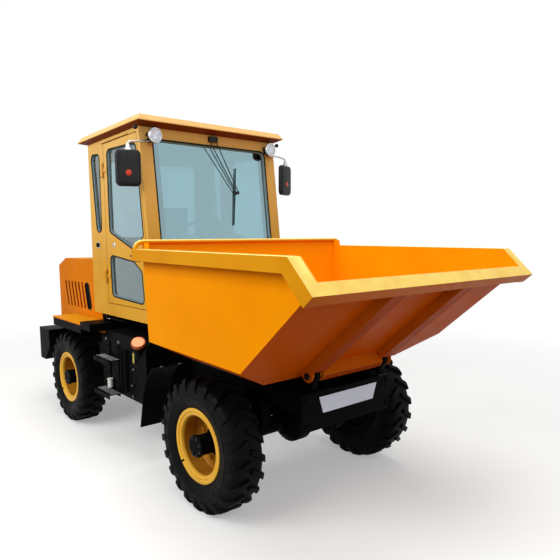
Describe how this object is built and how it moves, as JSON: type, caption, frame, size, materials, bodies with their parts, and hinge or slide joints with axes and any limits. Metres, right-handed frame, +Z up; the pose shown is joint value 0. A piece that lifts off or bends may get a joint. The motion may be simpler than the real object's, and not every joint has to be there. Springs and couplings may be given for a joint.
{
  "type": "site dumper",
  "caption": "Four-wheel site dumper with a forward-tipping skip over the front axle, a glazed cab behind it, an engine hood and a steered rear axle.",
  "frame": {"origin": "on the ground, halfway along the length and on the centre line", "axes": "+X forwards towards the skip's lip, +Y to the vehicle's left, +Z up"},
  "size_m": [4.252, 2.022, 2.66],
  "materials": {
    "cab_ochre": "gloss",
    "cap": "satin",
    "chrome_rod": "gloss",
    "console": "matte",
    "engine": "matte",
    "frame_black": "satin",
    "glass": "gloss",
    "hood_orange": "gloss",
    "lamp": "gloss",
    "mirror_black": "satin",
    "plate": "satin",
    "rubber_guard": "matte",
    "seat": "matte",
    "skip_orange": "gloss",
    "steel": "satin",
    "tyre": "matte",
    "wheel_ochre": "gloss"
  },
  "bodies": {
    "chassis": {"cab_console": "console", "cab_roof": "cab_ochre", "cab_shell": "cab_ochre", "chassis": "frame_black", "driveline": "frame_black", "engine": "engine", "fender_skirts": "frame_black", "filler_cap": "cap", "front_axle": "frame_black", "front_guard_l": "rubber_guard", "front_guard_r": "rubber_guard", "front_panel": "frame_black", "mirrors": "mirror_black", "name_plate": "plate", "quarter_glass": "glass", "rear_axle": "frame_black", "rear_bumper": "frame_black", "rear_fender_l": "hood_orange", "rear_fender_r": "hood_orange", "rear_glass": "glass", "screen_glass": "glass", "seat_base": "frame_black", "seat_cushions": "seat", "side_tank_l": "frame_black", "side_tank_r": "frame_black", "steering_wheel": "console", "steps_l": "frame_black", "steps_r": "frame_black", "work_lamps": "lamp"},
    "skip": {"skip_body": "skip_orange", "skip_rim": "skip_orange", "skip_ribs": "skip_orange", "skip_ram_bracket": "skip_orange"},
    "ram_barrel": {"ram_barrel": "frame_black"},
    "ram_rod": {"ram_rod": "chrome_rod"},
    "steer_rod": {"steer_rod": "steel"},
    "hood": {"hood": "hood_orange", "hood_vents": "frame_black"},
    "knuckle_l": {"knuckle_l": "frame_black"},
    "front_wheel_l": {"front_wheel_l": "wheel_ochre", "front_tyre_l": "tyre"},
    "rear_wheel_l": {"rear_wheel_l": "wheel_ochre", "rear_tyre_l": "tyre"},
    "door_l": {"door_l": "cab_ochre", "door_glass_l": "glass"},
    "knuckle_r": {"knuckle_r": "frame_black"},
    "front_wheel_r": {"front_wheel_r": "wheel_ochre", "front_tyre_r": "tyre"},
    "rear_wheel_r": {"rear_wheel_r": "wheel_ochre", "rear_tyre_r": "tyre"},
    "door_r": {"door_r": "cab_ochre", "door_glass_r": "glass"}
  },
  "joints": [
    {"name": "front_wheel_l_spin", "type": "hinge", "parent": "chassis", "child": "front_wheel_l", "pos_m": [0.974, 0.737, 0.4325], "axis": [0, 1, 0], "continuous": true},
    {"name": "front_wheel_r_spin", "type": "hinge", "parent": "chassis", "child": "front_wheel_r", "pos_m": [0.974, -0.737, 0.4325], "axis": [0, 1, 0], "continuous": true},
    {"name": "steer_l", "type": "hinge", "parent": "chassis", "child": "knuckle_l", "pos_m": [-1.254, 0.58, 0.4325], "axis": [0, 0, 1], "range_deg": [-30, 30]},
    {"name": "rear_wheel_l_spin", "type": "hinge", "parent": "knuckle_l", "child": "rear_wheel_l", "pos_m": [-1.254, 0.737, 0.4325], "axis": [0, 1, 0], "continuous": true},
    {"name": "steer_r", "type": "hinge", "parent": "chassis", "child": "knuckle_r", "pos_m": [-1.254, -0.58, 0.4325], "axis": [0, 0, 1], "range_deg": [-30, 30]},
    {"name": "rear_wheel_r_spin", "type": "hinge", "parent": "knuckle_r", "child": "rear_wheel_r", "pos_m": [-1.254, -0.737, 0.4325], "axis": [0, 1, 0], "continuous": true},
    {"name": "steer_rod_slide", "type": "slide", "parent": "chassis", "child": "steer_rod", "axis": [0, 1, 0], "range_m": [-0.0955, 0.0955]},
    {"name": "skip_tip", "type": "hinge", "parent": "chassis", "child": "skip", "pos_m": [1.492, 0, 0.913], "axis": [0, 1, 0], "range_deg": [0, 60]},
    {"name": "ram_swing", "type": "hinge", "parent": "chassis", "child": "ram_barrel", "pos_m": [1.374, 0, 0.52], "axis": [0, 1, 0], "range_deg": [0, 44.14]},
    {"name": "ram_slide", "type": "slide", "parent": "ram_barrel", "child": "ram_rod", "axis": [-0.8912, 0, 0.4537], "range_m": [0, 0.3507]},
    {"name": "door_l_swing", "type": "hinge", "parent": "chassis", "child": "door_l", "pos_m": [-0.629, 0.686, 1.9], "axis": [0, 0, 1], "range_deg": [0, 165]},
    {"name": "door_r_swing", "type": "hinge", "parent": "chassis", "child": "door_r", "pos_m": [-0.629, -0.686, 1.9], "axis": [0, 0, -1], "range_deg": [0, 165]},
    {"name": "hood_lift", "type": "hinge", "parent": "chassis", "child": "hood", "pos_m": [-0.966, 0, 1.582], "axis": [0, 1, 0], "range_deg": [0, 60]}
  ],
  "couplings": [
    {"joint": "steer_l", "follows": "steer_r", "ratio": 1},
    {"joint": "steer_rod_slide", "follows": "steer_r", "m_per_rad": -0.18144},
    {"joint": "ram_swing", "follows": "skip_tip", "ratio": 0.73478},
    {"joint": "ram_slide", "follows": "skip_tip", "m_per_rad": 0.33438}
  ]
}
